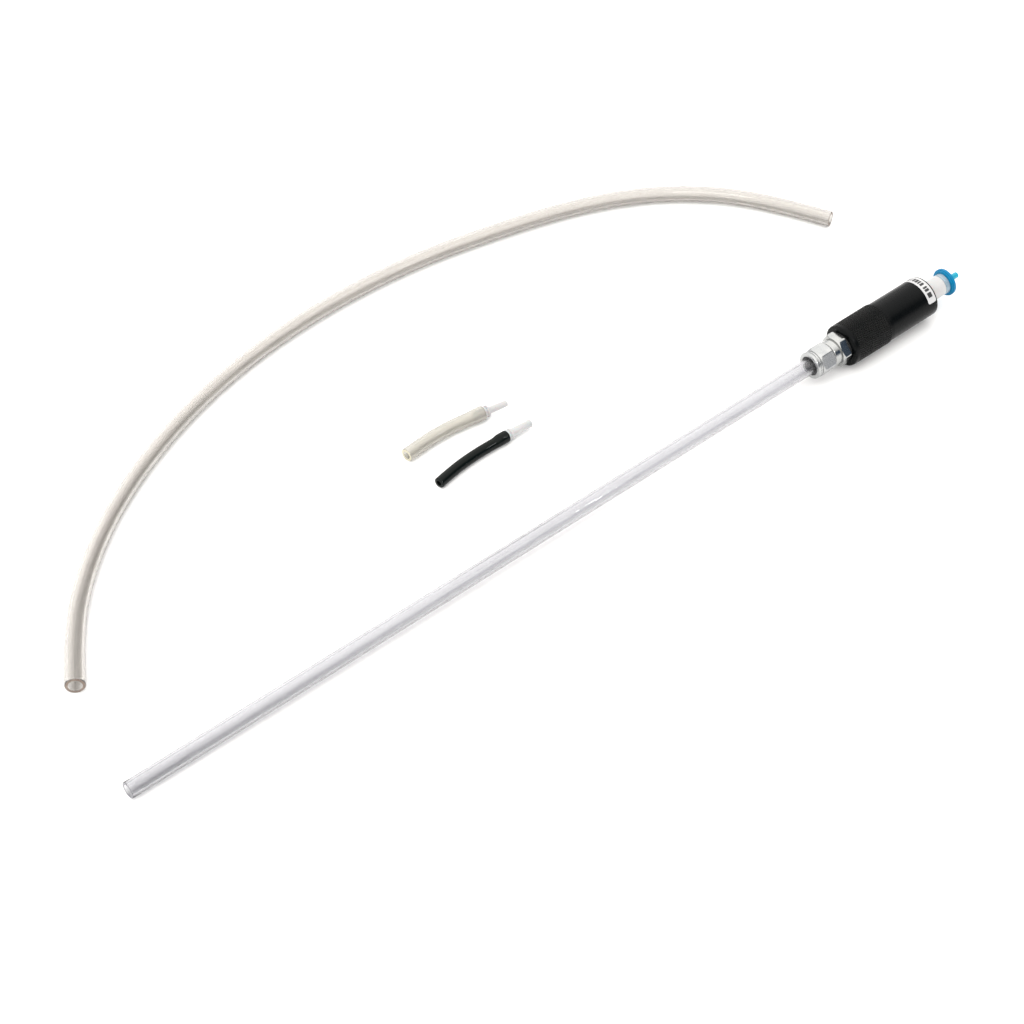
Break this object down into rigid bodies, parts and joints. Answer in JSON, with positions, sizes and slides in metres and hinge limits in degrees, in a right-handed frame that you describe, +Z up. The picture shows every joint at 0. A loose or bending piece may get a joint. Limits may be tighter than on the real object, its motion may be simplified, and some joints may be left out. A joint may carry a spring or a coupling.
{
  "type": "gear oil pump suction probe kit",
  "caption": "Suction probe: clear rigid tube in a compression gland, knurled black filter housing, disc filter with a luer tip, loose flexible hose and two short tube adapters.",
  "frame": {"origin": "centre of the probe's bounding box on the surface that the kit lies on", "axes": "+X along the probe from the open tube tip to the luer tip, +Y towards the loose hose, +Z up"},
  "size_m": [0.5865, 0.2407, 0.026],
  "materials": {
    "clear_acrylic": "polished",
    "zinc_plate": "zinc plated",
    "washer_steel": "plain",
    "black_rubber": "matt",
    "seal_rubber": "matt",
    "black_anodised": "black anodised satin",
    "label_white": "satin vinyl",
    "porous_white": "porous",
    "white_plastic": "satin",
    "disc_clear": "translucent",
    "membrane_white": "matt",
    "disc_blue": "satin",
    "clear_vinyl": "polished",
    "ivory_tube": "polished",
    "black_tube": "glossy",
    "connector_plastic": "translucent"
  },
  "bodies": {
    "housing": {"housing_barrel": "black_anodised", "label_band": "label_white", "filter_element": "porous_white", "element_cap": "white_plastic", "element_gasket": "seal_rubber", "outlet_fitting": "white_plastic", "outlet_oring": "seal_rubber"},
    "cap_oring": {"cap_oring": "seal_rubber"},
    "cap": {"knurled_cap": "black_anodised", "gland_body": "zinc_plate", "gland_seal": "seal_rubber", "gland_bushing": "black_rubber"},
    "slip_washer": {"slip_washer": "washer_steel"},
    "gland_nut": {"gland_nut": "zinc_plate"},
    "suction_tube": {"suction_tube": "clear_acrylic"},
    "disc_filter": {"disc_inlet_half": "disc_clear", "disc_ring": "disc_blue", "disc_membrane": "membrane_white", "disc_support": "white_plastic", "disc_outlet_half": "disc_blue"},
    "flexible_hose": {"flexible_hose": "clear_vinyl"},
    "clear_adapter": {"clear_adapter_tube": "ivory_tube", "clear_adapter_connector": "connector_plastic"},
    "black_adapter": {"black_adapter_tube": "black_tube", "black_adapter_connector": "connector_plastic"}
  },
  "joints": [
    {"name": "cap_advance", "type": "slide", "parent": "housing", "child": "cap_oring", "axis": [-0.9999, 0, -0.0161], "range_m": [0, 0.006]},
    {"name": "cap_turn", "type": "hinge", "parent": "cap_oring", "child": "cap", "pos_m": [0.23502, 0, 0.01325], "axis": [-0.9999, 0, -0.0161], "range_deg": [0, 1441]},
    {"name": "nut_advance", "type": "slide", "parent": "cap", "child": "slip_washer", "axis": [-0.9999, 0, -0.0161], "range_m": [0, 0.006]},
    {"name": "nut_turn", "type": "hinge", "parent": "slip_washer", "child": "gland_nut", "pos_m": [0.17773, 0, 0.01233], "axis": [-0.9999, 0, -0.0161], "range_deg": [0, 2161]},
    {"name": "tube_pull", "type": "slide", "parent": "cap", "child": "suction_tube", "axis": [-0.9999, 0, -0.0161], "range_m": [0, 0.03]},
    {"name": "filter_pull", "type": "slide", "parent": "housing", "child": "disc_filter", "axis": [0.9999, 0, 0.0161], "range_m": [0, 0.012]},
    {"name": "hose_lift", "type": "slide", "parent": "housing", "child": "flexible_hose", "axis": [0, 0, 1], "range_m": [0, 0.1]},
    {"name": "clear_adapter_lift", "type": "slide", "parent": "housing", "child": "clear_adapter", "axis": [0, 0, 1], "range_m": [0, 0.06]},
    {"name": "black_adapter_lift", "type": "slide", "parent": "housing", "child": "black_adapter", "axis": [0, 0, 1], "range_m": [0, 0.06]}
  ],
  "couplings": [
    {"joint": "cap_turn", "follows": "cap_advance", "rad_per_m": 4188.8},
    {"joint": "nut_turn", "follows": "nut_advance", "rad_per_m": 6283.2}
  ]
}
